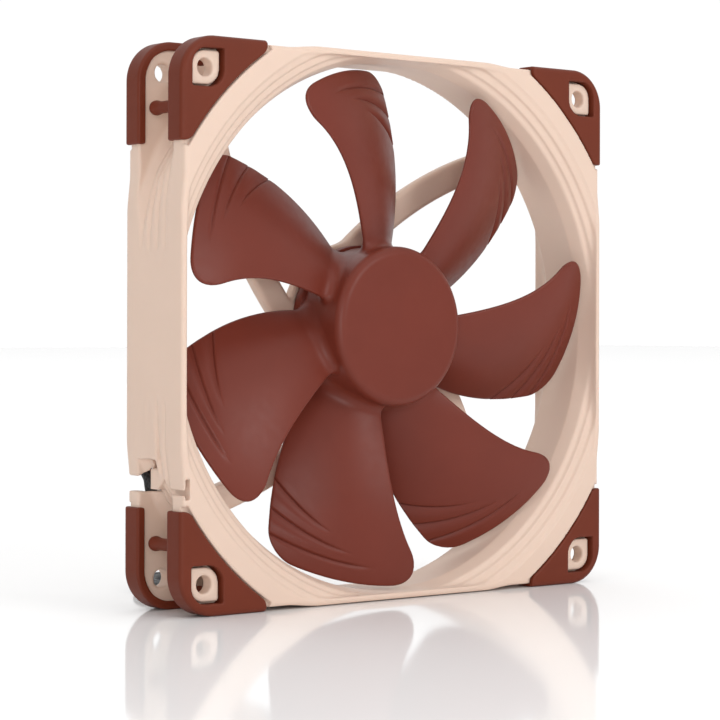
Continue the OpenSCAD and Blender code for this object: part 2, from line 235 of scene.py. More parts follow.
def plastic(name, col, rough, spec=0.5, var=0.04, bump=0.06, grain=2200, coat=0.0, sss=0.0):
    """Moulded plastic: faint mottling, fine spark texture and slightly uneven gloss."""
    m, nt, b = nodes_of(name)
    oc = obj_coord(nt)
    big = noise(nt, 55, 5, 0.6, oc)
    r = ramp(nt, big.outputs["Fac"], [(0.3, shade(col, 1 - var)), (0.7, shade(col, 1 + var))])
    nt.links.new(r.outputs["Color"], b.inputs["Base Color"])
    mid = noise(nt, 420, 3, 0.5, oc)
    rr = ramp(nt, mid.outputs["Fac"], [(0.3, (rough - 0.035,) * 3), (0.7, (rough + 0.035,) * 3)])
    nt.links.new(rr.outputs["Color"], b.inputs["Roughness"])
    fine = noise(nt, grain, 2, 0.6, oc)
    bp = nt.nodes.new("ShaderNodeBump")
    bp.inputs["Strength"].default_value = bump
    bp.inputs["Distance"].default_value = 0.00008
    nt.links.new(fine.outputs["Fac"], bp.inputs["Height"])
    nt.links.new(bp.outputs["Normal"], b.inputs["Normal"])
    b.inputs["Specular IOR Level"].default_value = spec
    if coat:
        b.inputs["Coat Weight"].default_value = coat
        b.inputs["Coat Roughness"].default_value = 0.2
    if sss:
        b.inputs["Subsurface Weight"].default_value = sss
        b.inputs["Subsurface Radius"].default_value = (0.003, 0.0015, 0.001)
        b.inputs["Subsurface Scale"].default_value = 0.3
    return m


def metal(name, col, rough, brushed=0.0, axis=1):
    m, nt, b = nodes_of(name)
    oc = obj_coord(nt)
    mp = nt.nodes.new("ShaderNodeMapping")
    s = [1.0, 1.0, 1.0]
    if brushed:
        s[axis] = 14.0
    mp.inputs["Scale"].default_value = s
    nt.links.new(oc, mp.inputs["Vector"])
    n = noise(nt, 700, 4, 0.6, mp.outputs["Vector"])
    r = ramp(nt, n.outputs["Fac"], [(0.25, shade(col, 0.88)), (0.75, shade(col, 1.08))])
    nt.links.new(r.outputs["Color"], b.inputs["Base Color"])
    rr = ramp(nt, n.outputs["Fac"], [(0.25, (rough - 0.06,) * 3), (0.75, (rough + 0.08,) * 3)])
    nt.links.new(rr.outputs["Color"], b.inputs["Roughness"])
    b.inputs["Metallic"].default_value = 1.0
    bp = nt.nodes.new("ShaderNodeBump")
    bp.inputs["Strength"].default_value = 0.08
    bp.inputs["Distance"].default_value = 0.00004
    nt.links.new(n.outputs["Fac"], bp.inputs["Height"])
    nt.links.new(bp.outputs["Normal"], b.inputs["Normal"])
    return m


TAN = plastic("frame_plastic", (0.735, 0.555, 0.45), 0.48, 0.36, 0.015, 0.10, 2600, sss=0.06)
BROWN = plastic("impeller_plastic", (0.158, 0.0285, 0.0165), 0.40, 0.26, 0.05, 0.08, 2400)
PAD = plastic("pad_silicone", (0.142, 0.0245, 0.0095), 0.50, 0.22, 0.06, 0.12, 3000)
BLACK = plastic("black_plastic", (0.012, 0.012, 0.013), 0.38, 0.5, 0.2, 0.1, 2500)
IVORY = plastic("ivory_plastic", (0.62, 0.57, 0.43), 0.5, 0.5, 0.05, 0.1, 2500)
MASK = plastic("solder_mask", (0.012, 0.085, 0.030), 0.3, 0.5, 0.15, 0.05, 1800, coat=0.4)
CHIP = plastic("chip_epoxy", (0.02, 0.02, 0.022), 0.55, 0.4, 0.15, 0.15, 3500)
CERAM = plastic("part_ceramic", (0.36, 0.24, 0.13), 0.45, 0.5, 0.25, 0.08, 900)
FERRITE = plastic("ferrite", (0.05, 0.05, 0.055), 0.55, 0.6, 0.2, 0.25, 1800)
WHITE = plastic("white_nylon", (0.72, 0.71, 0.68), 0.42, 0.5, 0.03, 0.08, 2200)
SEAL = plastic("seal_rubber", (0.10, 0.035, 0.02), 0.6, 0.4, 0.1, 0.12, 2400)
STEEL = metal("drawn_steel", (0.52, 0.52, 0.53), 0.32, 1.0)
LAMS = metal("sheet_stack", (0.38, 0.39, 0.41), 0.42, 1.0)
BRASS = metal("turned_brass", (0.75, 0.56, 0.27), 0.28, 1.0)
BRONZE = metal("sintered_bronze", (0.52, 0.33, 0.17), 0.5)
TINNED = metal("tinned_contact", (0.68, 0.62, 0.47), 0.3)


def winding_material():
    m, nt, b = nodes_of("copper_winding")
    oc = obj_coord(nt)
    w = nt.nodes.new("ShaderNodeTexWave")
    w.wave_type = "BANDS"
    w.bands_direction = "DIAGONAL"
    w.inputs["Scale"].default_value = 900
    w.inputs["Distortion"].default_value = 0.6
    w.inputs["Detail"].default_value = 1.5
    nt.links.new(oc, w.inputs["Vector"])
    r = ramp(nt, w.outputs["Fac"], [(0.1, (0.20, 0.05, 0.015)), (0.7, (0.62, 0.22, 0.07))])
    nt.links.new(r.outputs["Color"], b.inputs["Base Color"])
    b.inputs["Metallic"].default_value = 0.75
    b.inputs["Roughness"].default_value = 0.3
    b.inputs["Coat Weight"].default_value = 0.6
    bp = nt.nodes.new("ShaderNodeBump")
    bp.inputs["Strength"].default_value = 0.7
    bp.inputs["Distance"].default_value = 0.00015
    nt.links.new(w.outputs["Fac"], bp.inputs["Height"])
    nt.links.new(bp.outputs["Normal"], b.inputs["Normal"])
    return m


def sleeve_material():
    """Black heat-shrink sleeve with a fine woven ribbing; uses the tube's own UVs (metres)."""
    m, nt, b = nodes_of("lead_sleeve")
    uv = nt.nodes.new("ShaderNodeTexCoord").outputs["UV"]
    sep = nt.nodes.new("ShaderNodeSeparateXYZ")
    nt.links.new(uv, sep.inputs[0])

    def sine(a, b_, ph=0.0):
        x = nt.nodes.new("ShaderNodeMath"); x.operation = "MULTIPLY"; x.inputs[1].default_value = a
        nt.links.new(sep.outputs["X"], x.inputs[0])
        y = nt.nodes.new("ShaderNodeMath"); y.operation = "MULTIPLY"; y.inputs[1].default_value = b_
        nt.links.new(sep.outputs["Y"], y.inputs[0])
        s = nt.nodes.new("ShaderNodeMath"); s.operation = "ADD"
        nt.links.new(x.outputs[0], s.inputs[0]); nt.links.new(y.outputs[0], s.inputs[1])
        q = nt.nodes.new("ShaderNodeMath"); q.operation = "SINE"
        nt.links.new(s.outputs[0], q.inputs[0])
        return q.outputs[0]

    a = sine(2 * pi * 9, 2 * pi * 950)
    c = sine(2 * pi * 9, -2 * pi * 950)
    mx = nt.nodes.new("ShaderNodeMath"); mx.operation = "MAXIMUM"
    nt.links.new(a, mx.inputs[0]); nt.links.new(c, mx.inputs[1])
    r = ramp(nt, mx.outputs[0], [(0.2, (0.004, 0.004, 0.005)), (0.9, (0.022, 0.022, 0.024))])
    nt.links.new(r.outputs["Color"], b.inputs["Base Color"])
    b.inputs["Roughness"].default_value = 0.46
    bp = nt.nodes.new("ShaderNodeBump")
    bp.inputs["Strength"].default_value = 0.55
    bp.inputs["Distance"].default_value = 0.00012
    nt.links.new(mx.outputs[0], bp.inputs["Height"])
    nt.links.new(bp.outputs["Normal"], b.inputs["Normal"])
    return m


def label_material():
    """Plain satin label: pale field, a thin printed ring near the rim, no lettering."""
    m, nt, b = nodes_of("label_print")
    oc = obj_coord(nt)
    sep = nt.nodes.new("ShaderNodeSeparateXYZ")
    nt.links.new(oc, sep.inputs[0])
    cmb = nt.nodes.new("ShaderNodeCombineXYZ")
    nt.links.new(sep.outputs["X"], cmb.inputs["X"]); nt.links.new(sep.outputs["Z"], cmb.inputs["Y"])
    ln = nt.nodes.new("ShaderNodeVectorMath"); ln.operation = "LENGTH"
    nt.links.new(cmb.outputs[0], ln.inputs[0])
    sc = nt.nodes.new("ShaderNodeMath"); sc.operation = "MULTIPLY"; sc.inputs[1].default_value = 50.0
    nt.links.new(ln.outputs["Value"], sc.inputs[0])
    pale, ring = (0.66, 0.60, 0.53), (0.19, 0.05, 0.033)
    r = ramp(nt, sc.outputs[0], [(0.0, pale), (0.836, pale), (0.838, ring), (0.866, ring), (0.868, pale)])
    r.color_ramp.interpolation = "LINEAR"
    nt.links.new(r.outputs["Color"], b.inputs["Base Color"])
    b.inputs["Roughness"].default_value = 0.34
    n = noise(nt, 900, 3, 0.6, oc)
    bp = nt.nodes.new("ShaderNodeBump")
    bp.inputs["Strength"].default_value = 0.05
    bp.inputs["Distance"].default_value = 0.00005
    nt.links.new(n.outputs["Fac"], bp.inputs["Height"])
    nt.links.new(bp.outputs["Normal"], b.inputs["Normal"])
    return m


SLEEVE = sleeve_material()
LABEL = label_material()
WINDING = winding_material()


# ------------------------------------------------------------------ mesh helpers
def make(name, verts, faces, mat, body, uvs=None, smooth=True):
    """verts in millimetres in the shared frame."""
    me = bpy.data.meshes.new(name)
    me.from_pydata([tuple(float(c) * MM for c in v) for v in verts], [], [tuple(int(i) for i in f) for f in faces])
    me.validate()
    if uvs is not None:
        layer = me.uv_layers.new(name="UVMap")
        flat = np.array([uvs[l.vertex_index] for l in me.loops], float)
        layer.data.foreach_set("uv", flat.ravel())
    bm = bmesh.new(); bm.from_mesh(me)
    bmesh.ops.recalc_face_normals(bm, faces=bm.faces)
    bm.to_mesh(me); bm.free()
    me.materials.append(mat)
    for p in me.polygons:
        p.use_smooth = smooth
    ob = bpy.data.objects.new(name, me)
    scene.collection.objects.link(ob)
    if body:
        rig.ride(ob, body)
    return ob


def sharp(ob, deg=35):
    """Edges sharper than the angle are shaded sharp."""
    me = ob.data
    bm = bmesh.new(); bm.from_mesh(me)
    lim = math.radians(deg)
    for e in bm.edges:
        e.smooth = not (len(e.link_faces) == 2 and e.calc_face_angle(0) > lim)
    bm.to_mesh(me); bm.free()


def arc(cx, cy, r, a0, a1, n):
    return [(cx + r * math.cos(math.radians(a0 + (a1 - a0) * i / n)), cy + r * math.sin(math.radians(a0 + (a1 - a0) * i / n))) for i in range(n + 1)]


def lathe(profile, n=192, close=True):
    """profile of (radius, y) revolved about the Y axis; points on the axis are shared."""
    V, F, rings = [], [], []
    for r, y in profile:
        if r < 1e-6:
            rings.append([len(V)] * n); V.append((0, y, 0))
        else:
            rings.append(list(range(len(V), len(V) + n)))
            for k in range(n):
                a = 2 * pi * k / n
                V.append((r * math.cos(a), y, r * math.sin(a)))
    m = len(profile)
    for i in range(m if close else m - 1):
        a, b = rings[i], rings[(i + 1) % m]
        for k in range(n):
            q = [a[k], a[(k + 1) % n], b[(k + 1) % n], b[k]]
            q = [x for j, x in enumerate(q) if x not in q[:j]]
            if len(q) > 2:
                F.append(q)
    return V, F


def crom(P, n):
    P = np.array(P, float)
    Q = np.vstack([2 * P[0] - P[1], P, 2 * P[-1] - P[-2]])
    out = []
    for i in range(1, len(Q) - 2):
        p0, p1, p2, p3 = Q[i - 1:i + 3]
        for t in np.arange(n) / n:
            out.append(0.5 * (2 * p1 + (p2 - p0) * t + (2 * p0 - 5 * p1 + 4 * p2 - p3) * t * t + (3 * p1 - p0 - 3 * p2 + p3) * t ** 3))
    out.append(P[-1])
    return np.array(out)


def resample(p, step):
    d = np.r_[0, np.cumsum(np.linalg.norm(np.diff(p, axis=0), axis=1))]
    n = max(2, int(round(d[-1] / step)))
    s = np.linspace(0, d[-1], n + 1)
    return np.stack([np.interp(s, d, p[:, k]) for k in range(3)], 1)


def length(p):
    return float(np.linalg.norm(np.diff(p, axis=0), axis=1).sum())


def tube(name, path, r, mat, body, sides=24, cap=True):
    p = np.array(path, float)
    t = np.gradient(p, axis=0)
    t /= np.linalg.norm(t, axis=1)[:, None]
    n = np.cross(t[0], [0, 0, 1.0])
    if np.linalg.norm(n) < 0.2:
        n = np.cross(t[0], [1.0, 0, 0])
    n /= np.linalg.norm(n)
    V, U, F = [], [], []
    d = np.r_[0, np.cumsum(np.linalg.norm(np.diff(p, axis=0), axis=1))]
    rad = np.full(len(p), r) if np.isscalar(r) else np.array(r)
    for i in range(len(p)):
        n = n - n.dot(t[i]) * t[i]; n /= np.linalg.norm(n)
        b = np.cross(t[i], n)
        for k in range(sides + 1):
            a = 2 * pi * k / sides
            if k < sides:
                V.append(p[i] + rad[i] * (math.cos(a) * n + math.sin(a) * b))
                U.append((k / sides, d[i] * MM))
    for i in range(len(p) - 1):
        for k in range(sides):
            F.append((i * sides + k, i * sides + (k + 1) % sides, (i + 1) * sides + (k + 1) % sides, (i + 1) * sides + k))
    if cap:
        F.append(tuple(range(sides - 1, -1, -1)))
        F.append(tuple((len(p) - 1) * sides + k for k in range(sides)))
    return make(name, V, F, mat, body, uvs=U)


# ------------------------------------------------------------------ the lead
LEAD_D = 3.0
exit_pt = [-64.2, 12.5, -35]
free = [[-64.2, 12.5, -35], [-64, 15.3, -34.4], [-62.4, 18.7, -34.6], [-59.5, 20.9, -35.4], [-56.3, 21.6, -37.5], [-54.6, 21.7, -41],
        [-54.1, 21.6, -46.5], [-53.8, 21.6, -52], [-52.4, 21.9, -57.6], [-48.6, 22.7, -62.0], [-43, 23.6, -64.2], [-36, 24.3, -64.7], [-28, 24.5, -64.85]]
coil_c = (-28.0, 37.0)
spiral = []
for a in np.arange(-90 + 12, -90 + 360 * 2.25 + 0.1, 12):
    R = 12.5 + 3.06 * (a + 90) / 360
    x, y = coil_c[0] + R * math.cos(math.radians(a)), coil_c[1] + R * math.sin(math.radians(a))
    k = min(1.0, max(0.0, (a + 90) / 66.0))
    spiral.append([x, y, -64.85 - 3.05 * (0.5 - 0.5 * math.cos(pi * k))])
tail = [[-8.6, 41, -67.9], [-8.35, 45, -67.9], [-8, 49, -67.8]]
route = free + spiral + tail
cord_path = resample(crom(route, 10), 0.75)
cord_len = length(cord_path)
cord_ob = tube("lead_cord", cord_path, LEAD_D / 2, SLEEVE, "housing", 20)
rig.replaces(cord_ob, "lead_free", "lead_coil", "lead_tail")
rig.slot(cord_ob, "lead_sleeve")


def strut_pt(a, y):
    return [-(77.1 + 117.7 * math.cos(math.radians(a))), y, -(-68.8 + 117.7 * math.sin(math.radians(a)))]


held = [strut_pt(130.5 - 6.6 * i, 10.9) for i in range(5)] + [[-53, 10.9, -46.4], [-57.2, 10.7, -46.7], [-60.9, 10.2, -45.3], [-63.2, 9.6, -42.9],
        [-64.2, 9.2, -40], [-64.2, 10, -37.4], [-64.2, 12.5, -35]]
held_ob = tube("lead_in_strut", resample(crom(held, 10), 0.8), LEAD_D / 2 - 0.01, SLEEVE, "housing", 20)
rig.replaces(held_ob, "lead_held")
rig.slot(held_ob, "lead_sleeve")


def rounded_box(name, lo, hi, r, mat, body, seg=3):
    V = [(x, y, z) for x in (lo[0], hi[0]) for y in (lo[1], hi[1]) for z in (lo[2], hi[2])]
    F = [(0, 1, 3, 2), (4, 6, 7, 5), (0, 4, 5, 1), (2, 3, 7, 6), (0, 2, 6, 4), (1, 5, 7, 3)]
    ob = make(name, V, F, mat, body)
    b = ob.modifiers.new("round", "BEVEL")
    b.width = r * MM; b.segments = seg; b.limit_method = "ANGLE"
    return ob


# strap round the two inner turns, wrapped in a rounded band
def tie():
    c, s = coil_c
    ri, ro, zb, zt = 12.3, 18.9, -69.75, -66.05
    rr = 1.4
    loop = arc(ro - rr, zt - rr, rr, 0, 90, 6) + arc(ri + rr, zt - rr, rr, 90, 180, 6) + arc(ri + rr, zb + rr, rr, 180, 270, 6) + arc(ro - rr, zb + rr, rr, 270, 360, 6)
    t = 0.32
    outer = []
    m = len(loop)
    for i in range(m):
        a, b = loop[i - 1], loop[(i + 1) % m]
        dx, dz = b[0] - a[0], b[1] - a[1]
        l = math.hypot(dx, dz)
        outer.append((loop[i][0] + t * dz / l, loop[i][1] - t * dx / l))
    V, F = [], []
    ys = [-1.9, -1.75, -1.2, 0, 1.2, 1.75, 1.9]
    shr = [0.5, 0.15, 0, 0, 0, 0.15, 0.5]
    for y, k in zip(ys, shr):
        for (a, b) in zip(loop, outer):
            q = (b[0] + (a[0] - b[0]) * k, b[1] + (a[1] - b[1]) * k)
            V.append((c - y, s + q[0], q[1]))
    for y in (ys[-1], ys[0]):
        for a in loop:
            V.append((c - y, s + a[0], a[1]))
    rows = len(ys) + 2
    for i in range(rows):
        for k in range(m):
            F.append((i * m + k, i * m + (k + 1) % m, ((i + 1) % rows) * m + (k + 1) % m, ((i + 1) % rows) * m + k))
    return make("coil_strap", V, F, BLACK, "housing")


tie_ob = tie()
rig.replaces(tie_ob, "coil_tie")
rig.slot(tie_ob, "coil_tie")


# four wires fan out of a short heat-shrink boot into the plug
def boot():
    n = 32
    V, F = [], []
    rows = [(49.0, 1.62, 1.62), (49.15, 1.72, 1.72), (50.0, 1.78, 1.75), (50.9, 2.2, 1.62), (51.6, 2.9, 1.3), (51.98, 3.3, 1.15)]
    for y, rx, rz in rows:
        for k in range(n):
            a = 2 * pi * k / n
            e = 0.8
            cx, sx = math.cos(a), math.sin(a)
            V.append((-8 + rx * math.copysign(abs(cx) ** e, cx), y, -67.65 + rz * math.copysign(abs(sx) ** e, sx)))
    for i in range(len(rows) - 1):
        for k in range(n):
            F.append((i * n + k, i * n + (k + 1) % n, (i + 1) * n + (k + 1) % n, (i + 1) * n + k))
    F.append(tuple(range(n - 1, -1, -1)))
    F.append(tuple((len(rows) - 1) * n + k for k in range(n)))
    return make("lead_boot_shrink", V, F, BLACK, "housing")


boot_ob = boot()
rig.replaces(boot_ob, "lead_boot")
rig.slot(boot_ob, "lead_boot")

nodes = frame["nodes"]


def paint(node, mat, bevel=0.0, seg=2, angle=35):
    ob = nodes[node]
    ob.data.materials.clear()
    ob.data.materials.append(mat)
    if bevel:
        b = ob.modifiers.new("edge", "BEVEL")
        b.width = bevel * MM; b.segments = seg
        b.limit_method = "ANGLE"; b.angle_limit = math.radians(angle)
        b.harden_normals = False
    return ob


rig.cord(cord_ob, exit=[c * MM for c in exit_pt], length=cord_len * MM, diameter=LEAD_D * MM, far_end="connector", stiffness="limp", lay="coiled",
        path=[[c * MM for c in p] for p in cord_path], with_pieces=[tie_ob, boot_ob, nodes["connector_housing"], nodes["connector_contacts"]])


# ------------------------------------------------------------------ impeller
NB = 7
RH, RT = 21.0, 66.8
SPAN = RT - RH


def blade_mid(rho, c):
    L = 109.746 + 4.872 * rho + 0.975 * rho ** 2 + 6.223 * rho ** 3 + 2.177 * rho ** 4
    T = 66.616 + 17.448 * rho + 5.414 * rho ** 2 - 0.945 * rho ** 3 - 1.45 * rho ** 4
    th = np.radians(T + (L - T) * (1 - c))
    y = (-3.918 - 13.514 * rho + 2.857 * rho ** 2 + 3.839 * rho ** 3) * (1 - c) + (5.441 + 2.268 * rho - 5.955 * rho ** 2 + 2.386 * rho ** 3) * c - 2.214 * 4 * c * (1 - c)
    R = RH + SPAN * rho
    return np.stack([R * np.cos(th), y, R * np.sin(th)], -1)


def tip_rho(c):
    l = np.clip(1 - c / 0.272, 0, 1); t = np.clip(1 - (1 - c) / 0.142, 0, 1)
    cut = 9.5 * (1 - np.sqrt(1 - l * l)) + 5.9 * (1 - np.sqrt(1 - t * t))
    bow = 0.009 * (2 * c - 1) ** 2 + 0.006 * (2 * c - 1)
    return 1 - cut / SPAN - bow


GROOVES = [(0.535, 0.766, 0.165, 1.2), (0.425, 0.843, 0.092, 1.35), (0.30, 0.903, 0.022, 1.6)]
G_D = [-0.044, -0.031, -0.018, -0.0070, -0.0032, 0.0010, 0.0048]
G_H = [0.0, 0.04, 0.09, 0.15, 0.56, 0.56, 0.0]


def groove_line(g, c):
    c0, r0, drop, p = g
    t = np.clip((c - c0) / (1 - c0), 0, 1)
    return r0 - drop * t ** p


def groove_amp(g, c):
    t = np.clip((c - g[0]) / 0.24, 0, 1)
    return t * t * (3 - 2 * t)


def blade_mesh():
    # columns from leading (0) to trailing edge (1), close together at both edges
    ce = [0, 0.0016, 0.005, 0.010, 0.0165, 0.025]
    mid = list(np.linspace(0.045, 0.955, 44))
    c = np.array(ce + mid + [1 - x for x in reversed(ce)])
    # rows: root fillet, plain span, groove bands, tip edge
    rows = []
    for d in (-1.3, -0.8, -0.4, -0.37, -0.30, -0.18, 0.0, 0.25, 0.6, 1.05, 1.6, 2.2, 2.9, 3.7):
        rows.append(("d", d / SPAN, 0, None))
    for q in np.linspace(0.11, 0.62, 15):
        rows.append(("f", q, 0, None))
    gl = [groove_line(g, c) for g in GROOVES]
    for gi, g in enumerate(GROOVES):
        for d, h in zip(G_D, G_H):
            rows.append(("g", d, h, gi))
    body = []
    for kind, q, h, gi in rows:
        if kind in ("d",):
            body.append(np.full_like(c, q))
        elif kind == "f":
            # plain rows close up under the lowest groove line
            top = gl[0] + G_D[0]
            body.append(0.11 + (q - 0.11) / (0.62 - 0.11) * (top - 0.02 - 0.11))
        else:
            body.append(gl[gi] + q)
    tip = tip_rho(c)
    last = body[-1]
    for f in (0.3, 0.6, 0.85):
        body.append(last + (np.maximum(tip - 0.02, last) - last) * f); rows.append(("t", 0, 0, None))
    for d in (0.75, 0.5, 0.3, 0.14, 0.04, 0.0):
        body.append(tip - d / SPAN); rows.append(("e", d, 0, None))
    K = len(rows)
    rho = np.array(body)
    # keep rows in order under the rounded tip corners
    for k in range(K):
        rho[k] = np.minimum(rho[k], tip - (K - 1 - k) * 0.00035)
    C = np.tile(c, (K, 1))
    # root fillet widens the section
    d_hub = np.clip(rho * SPAN + 0.4, 0, None)
    rf = 3.3
    fil = np.where(d_hub < rf, rf - np.sqrt(np.clip(rf ** 2 - (rf - d_hub) ** 2, 0, None)), 0)
    chord = 21 + 20 * np.clip(rho, 0, 1)
    ext = fil / chord * 0.75
    Ce = C * (1 + 2 * ext) - ext
    P = blade_mid(rho, Ce)
    e = 1e-3
    u = blade_mid(rho, Ce + e) - blade_mid(rho, Ce - e)
    v = blade_mid(rho + e, Ce) - blade_mid(rho - e, Ce)
    n = np.cross(u, v)
    n /= np.linalg.norm(n, axis=-1)[..., None]
    n *= np.where(n[..., 1:2] > 0, -1, 1)      # to the front
    # half thickness: rounded edges, fuller towards the root and mid chord
    base = (1.05 - 0.42 * np.clip(rho, 0, 1)) * (0.62 + 0.38 * np.sin(pi * C))
    er = (0.62 + fil) / chord
    ed = np.minimum(C, 1 - C) / er
    round_c = np.sqrt(np.clip(1 - np.clip(1 - ed, 0, 1) ** 2, 0, 1))
    dt = (tip[None, :] - rho) * SPAN
    round_t = np.sqrt(np.clip(1 - np.clip(1 - dt / 0.6, 0, 1) ** 2, 0, 1))
    half = (base + fil) * np.minimum(round_c, 1) * round_t
    cut = np.zeros_like(half)
    for k, (kind, q, h, gi) in enumerate(rows):
        if kind == "g" and h:
            cut[k] = h * groove_amp(GROOVES[gi], c)
    # a groove fades where the rounded tip corner squeezes its rows
    for gi in range(3):
        idx = [k for k, r in enumerate(rows) if r[3] == gi]
        room = np.clip((tip - (gl[gi] + G_D[-1])) / 0.01, 0, 1)
        for k in idx:
            cut[k] *= room
    front = P + n * (half - cut * round_c * 0.95)[..., None]
    rear = P - n * half[..., None]
    # near the hub each row stays on its own cylinder
    row_r = RH + SPAN * rho
    keep = np.clip((7.0 - rho * SPAN) / 3.5, 0, 1)
    for S in (front, rear):
        k = 1 + keep * (row_r / np.hypot(S[..., 0], S[..., 2]) - 1)
        S[..., 0] *= k
        S[..., 2] *= k
    nr, nc = C.shape
    V = np.vstack([front.reshape(-1, 3), rear.reshape(-1, 3)])
    M = nr * nc
    F = []
    for i in range(nr - 1):
        for j in range(nc - 1):
            a = i * nc + j
            F.append((a, a + 1, a + nc + 1, a + nc))
            F.append((M + a, M + a + nc, M + a + nc + 1, M + a + 1))
    # the two surfaces meet at the edges (zero thickness there); the root end is inside the hub
    for j in range(nc - 1):
        F.append((j, M + j, M + j + 1, j + 1))
    return V, F, nr, nc, M


def build_impeller():
    V, F, nr, nc, M = blade_mesh()
    hub_prof = [(0, -10.66), (6, -10.65), (12, -10.62), (17.0, -10.57)] + [(18.2 + 2.4 * math.cos(a), -8.15 - 2.4 * math.sin(a)) for a in np.linspace(pi / 2, 0, 16)]
    hub_prof += [(20.6, -5), (20.6, 0), (20.6, 3.6), (20.55, 5.0), (20.3, 5.35), (20.2, 5.5), (20.35, 5.65), (21.0, 5.85), (21.2, 6.1), (21.2, 8.15), (21.1, 8.45), (20.85, 8.6),
                 (19.75, 8.6), (19.45, 8.45), (19.4, 8.2), (19.4, -7.1), (18.2, -7.1), (18.2, -8.9), (4.5, -8.9), (4.5, -7.1), (0, -7.1)]
    HV, HF = lathe(hub_prof, 224, close=False)
    allV = [np.array(HV, float)]
    allF = [list(f) for f in HF]
    off = len(HV)
    for k in range(NB):
        a = 2 * pi * k / NB
        ca, sa = math.cos(a), math.sin(a)
        W = np.stack([V[:, 0] * ca - V[:, 2] * sa, V[:, 1], V[:, 0] * sa + V[:, 2] * ca], 1)
        allV.append(W)
        allF += [[i + off for i in f] for f in F]
        off += len(W)
    ob = make("impeller_moulding", np.vstack(allV), allF, BROWN, None)
    bm = bmesh.new(); bm.from_mesh(ob.data)
    bmesh.ops.remove_doubles(bm, verts=bm.verts, dist=2e-6)
    bmesh.ops.dissolve_degenerate(bm, edges=bm.edges, dist=1e-6)
    bmesh.ops.recalc_face_normals(bm, faces=bm.faces)
    for e in bm.edges:
        # the buried root end must not bend the shading of the fillets or the rim
        if len(e.link_faces) == 2 and e.calc_face_angle(0) > 0.7 and max(math.hypot(v.co.x, v.co.z) for v in e.verts) < 0.0208:
            e.smooth = False
    bm.to_mesh(ob.data); bm.free()
    for p in ob.data.polygons:
        p.use_smooth = True
    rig.ride(ob, "rotor")
    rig.replaces(ob, "impeller")
    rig.slot(ob, "impeller")
    return ob


impeller_ob = build_impeller()

# ------------------------------------------------------------------ moulded shapes from distance fields
# local millimetres: X right, Y up, Z out of the intake face
def smin(a, b, k):
    h = np.clip(0.5 + 0.5 * (b - a) / k, 0, 1)
    return b + (a - b) * h - k * h * (1 - h)


def smax(a, b, k):
    return -smin(-a, -b, k)


def extr(d, dz, r):
    a, b = d + r, dz + r
    return np.minimum(np.maximum(a, b), 0) + np.hypot(np.maximum(a, 0), np.maximum(b, 0)) - r


def rsq(x, y, half, r):
    return extr(np.abs(x) - half, np.abs(y) - half, r)


def box3(x, y, z, x0, x1, y0, y1, z0, z1):
    return np.maximum(np.maximum(np.abs(x - (x0 + x1) / 2) - (x1 - x0) / 2, np.abs(y - (y0 + y1) / 2) - (y1 - y0) / 2),
                      np.abs(z - (z0 + z1) / 2) - (z1 - z0) / 2)


def poly_sd(x, y, P):
    d = np.full(x.shape, 1e9, np.float32)
    s = np.ones(x.shape, bool)
    n = len(P)
    for i in range(n):
        (ax, ay), (bx, by) = P[i], P[i - 1]
        ex, ey = bx - ax, by - ay
        wx, wy = x - ax, y - ay
        t = np.clip((wx * ex + wy * ey) / (ex * ex + ey * ey), 0, 1)
        d = np.minimum(d, (wx - ex * t) ** 2 + (wy - ey * t) ** 2)
        c1, c2, c3 = y >= ay, y < by, ex * wy > ey * wx
        s ^= (c1 & c2 & c3) | (~c1 & ~c2 & ~c3)
    return np.where(s, 1, -1) * np.sqrt(d)


class Profile:
    """Distance to a section in the (radius, z) plane, kept on a fine grid and slightly softened."""

    def __init__(self, P, r0, r1, z0, z1, h=0.1, soft=0.25):
        self.r0, self.z0, self.h = r0, z0, h
        r, z = np.meshgrid(np.arange(r0, r1 + h, h), np.arange(z0, z1 + h, h), indexing="ij")
        g = poly_sd(r.astype(np.float32), z.astype(np.float32), P)
        n = int(round(3 * soft / h))
        if n:
            k = np.exp(-0.5 * (np.arange(-n, n + 1) * h / soft) ** 2); k /= k.sum()
            for ax in (0, 1):
                pad = [(n, n) if a == ax else (0, 0) for a in (0, 1)]
                q = np.pad(g, pad, mode="edge")
                g = sum(w * (q[i:i + g.shape[0]] if ax == 0 else q[:, i:i + g.shape[1]]) for i, w in enumerate(k))
        self.g = g.astype(np.float32)

    def __call__(self, r, z):
        a = np.clip((r - self.r0) / self.h, 0, self.g.shape[0] - 1.001)
        b = np.clip((z - self.z0) / self.h, 0, self.g.shape[1] - 1.001)
        i, j = a.astype(np.int32), b.astype(np.int32)
        a, b = a - i, b - j
        g = self.g
        return (g[i, j] * (1 - a) * (1 - b) + g[i + 1, j] * a * (1 - b) + g[i, j + 1] * (1 - a) * b + g[i + 1, j + 1] * a * b)


